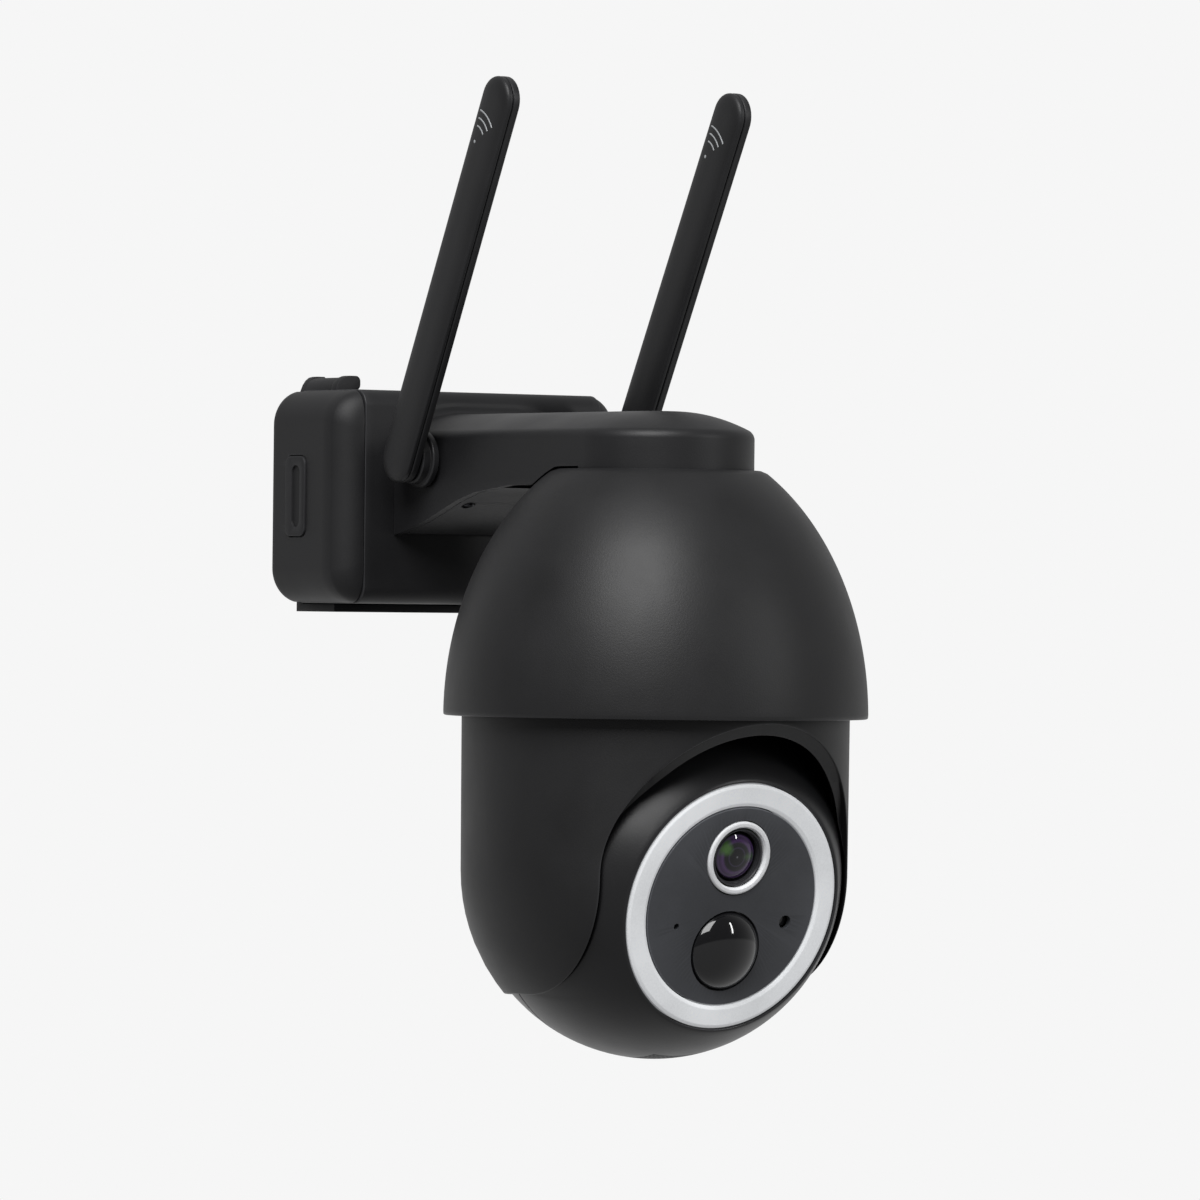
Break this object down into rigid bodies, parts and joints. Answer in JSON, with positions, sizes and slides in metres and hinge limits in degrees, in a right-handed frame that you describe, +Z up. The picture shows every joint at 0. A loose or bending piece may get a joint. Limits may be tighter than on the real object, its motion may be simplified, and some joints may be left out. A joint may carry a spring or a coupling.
{
  "type": "security camera",
  "caption": "Wall-mounted pan and tilt security camera: battery box on a bracket, arm with folding antennas, hooded head with a tilting ball, light ring, lens and motion sensor dome.",
  "frame": {"origin": "centre of the wall bracket's back face, at mid-height of the battery box", "axes": "+X to the viewer's right seen from the front, front faces -Y, +Y into the wall, +Z up"},
  "size_m": [0.11, 0.172, 0.2534],
  "materials": {
    "housing_plastic": "fine moulded texture, matte black",
    "box_plastic": "fine moulded texture, matte black",
    "bracket_plastic": "moulded, matte black",
    "hood_plastic": "fine moulded texture, matte black",
    "head_plastic": "fine moulded texture, matte black",
    "ball_plastic": "smooth satin black",
    "antenna_plastic": "fine moulded texture, matte black",
    "inner_plastic": "plain moulded",
    "rubber": "soft silicone rubber",
    "steel": "machined",
    "cell_wrap": "shrink wrap",
    "circuit_board": "solder mask",
    "gear_plastic": "natural acetal",
    "light_diffuser": "frosted light grey",
    "face_plate": "satin dark grey",
    "lens_trim": "satin light grey",
    "lens_barrel": "ridged black",
    "lens_glass": "coated lens",
    "sensor_window": "smoked window",
    "pir_dome": "polished black"
  },
  "bodies": {
    "wall_unit": {"wall_bracket": "bracket_plastic", "latch_pin": "steel", "latch_spring": "steel", "rear_cover": "box_plastic", "main_housing": "housing_plastic", "end_cap_left": "box_plastic", "end_cap_right": "box_plastic", "cell_holder": "inner_plastic", "battery_cell_upper": "cell_wrap", "battery_cell_lower": "cell_wrap", "charge_board": "circuit_board", "usb_socket": "steel", "arm_lower_cover": "housing_plastic", "cover_screw_left": "steel", "cover_screw_right": "steel", "antenna_boss_left": "antenna_plastic", "antenna_boss_right": "antenna_plastic", "pan_ring_gear": "gear_plastic"},
    "latch": {"bracket_latch": "bracket_plastic"},
    "charge_cover": {"port_cover": "rubber"},
    "antenna_left": {"antenna_left_inner": "antenna_plastic", "antenna_left_outer": "antenna_plastic", "antenna_left_element": "circuit_board", "antenna_left_pivot": "steel"},
    "antenna_right": {"antenna_right_inner": "antenna_plastic", "antenna_right_outer": "antenna_plastic", "antenna_right_element": "circuit_board", "antenna_right_pivot": "steel"},
    "head": {"neck_hub": "gear_plastic", "hood": "hood_plastic", "head_shell": "head_plastic", "head_deck": "housing_plastic", "cheek_plate_left": "housing_plastic", "cheek_plate_right": "housing_plastic", "tilt_stub_left": "steel", "tilt_stub_right": "steel", "deck_screw_left": "steel", "deck_screw_right": "steel", "pan_motor": "steel", "main_board": "circuit_board", "speaker": "inner_plastic", "tilt_gear": "gear_plastic"},
    "pan_drive": {"pan_pinion": "gear_plastic"},
    "ball": {"ball_front_shell": "ball_plastic", "ball_rear_shell": "ball_plastic", "card_cover": "rubber", "ring_diffuser": "light_diffuser", "led_board": "circuit_board", "face_plate": "face_plate", "microphone": "rubber", "light_sensor": "sensor_window", "pir_lens": "pir_dome", "pir_sensor": "steel", "lens_trim_ring": "lens_trim", "lens_barrel": "lens_barrel", "lens_glass": "lens_glass", "sensor_board": "circuit_board", "tilt_motor": "steel"},
    "tilt_drive": {"tilt_pinion": "gear_plastic"}
  },
  "joints": [
    {"name": "pan", "type": "hinge", "parent": "wall_unit", "child": "head", "pos_m": [0, -0.117, 0], "axis": [0, 0, 1], "range_deg": [-175, 175]},
    {"name": "pan_pinion_spin", "type": "hinge", "parent": "head", "child": "pan_drive", "pos_m": [0, -0.09495, 0], "axis": [0, 0, 1], "range_deg": [-565, 565]},
    {"name": "tilt", "type": "hinge", "parent": "head", "child": "ball", "pos_m": [0, -0.117, -0.0966], "axis": [1, 0, 0], "range_deg": [-27, 78]},
    {"name": "tilt_pinion_spin", "type": "hinge", "parent": "ball", "child": "tilt_drive", "pos_m": [0.0315, -0.099, -0.0966], "axis": [1, 0, 0], "range_deg": [-85, 240]},
    {"name": "antenna_left_swing", "type": "hinge", "parent": "wall_unit", "child": "antenna_left", "pos_m": [-0.036, -0.0505, 0.0099], "axis": [1, 0, 0], "range_deg": [-40, 60]},
    {"name": "antenna_right_swing", "type": "hinge", "parent": "wall_unit", "child": "antenna_right", "pos_m": [0.036, -0.0505, 0.0099], "axis": [1, 0, 0], "range_deg": [-40, 60]},
    {"name": "latch_lift", "type": "hinge", "parent": "wall_unit", "child": "latch", "pos_m": [-0.02945, 0, 0.03], "axis": [0, 1, 0], "range_deg": [0, 75], "stiffness_Nm_per_rad": 0.01, "springref_deg": -11.46},
    {"name": "charge_cover_swing", "type": "hinge", "parent": "wall_unit", "child": "charge_cover", "pos_m": [-0.0455, -0.01, 0], "axis": [0, 0, -1], "range_deg": [0, 100]}
  ],
  "couplings": [
    {"joint": "pan_pinion_spin", "follows": "pan", "ratio": 3.2},
    {"joint": "tilt_pinion_spin", "follows": "tilt", "ratio": 3}
  ]
}
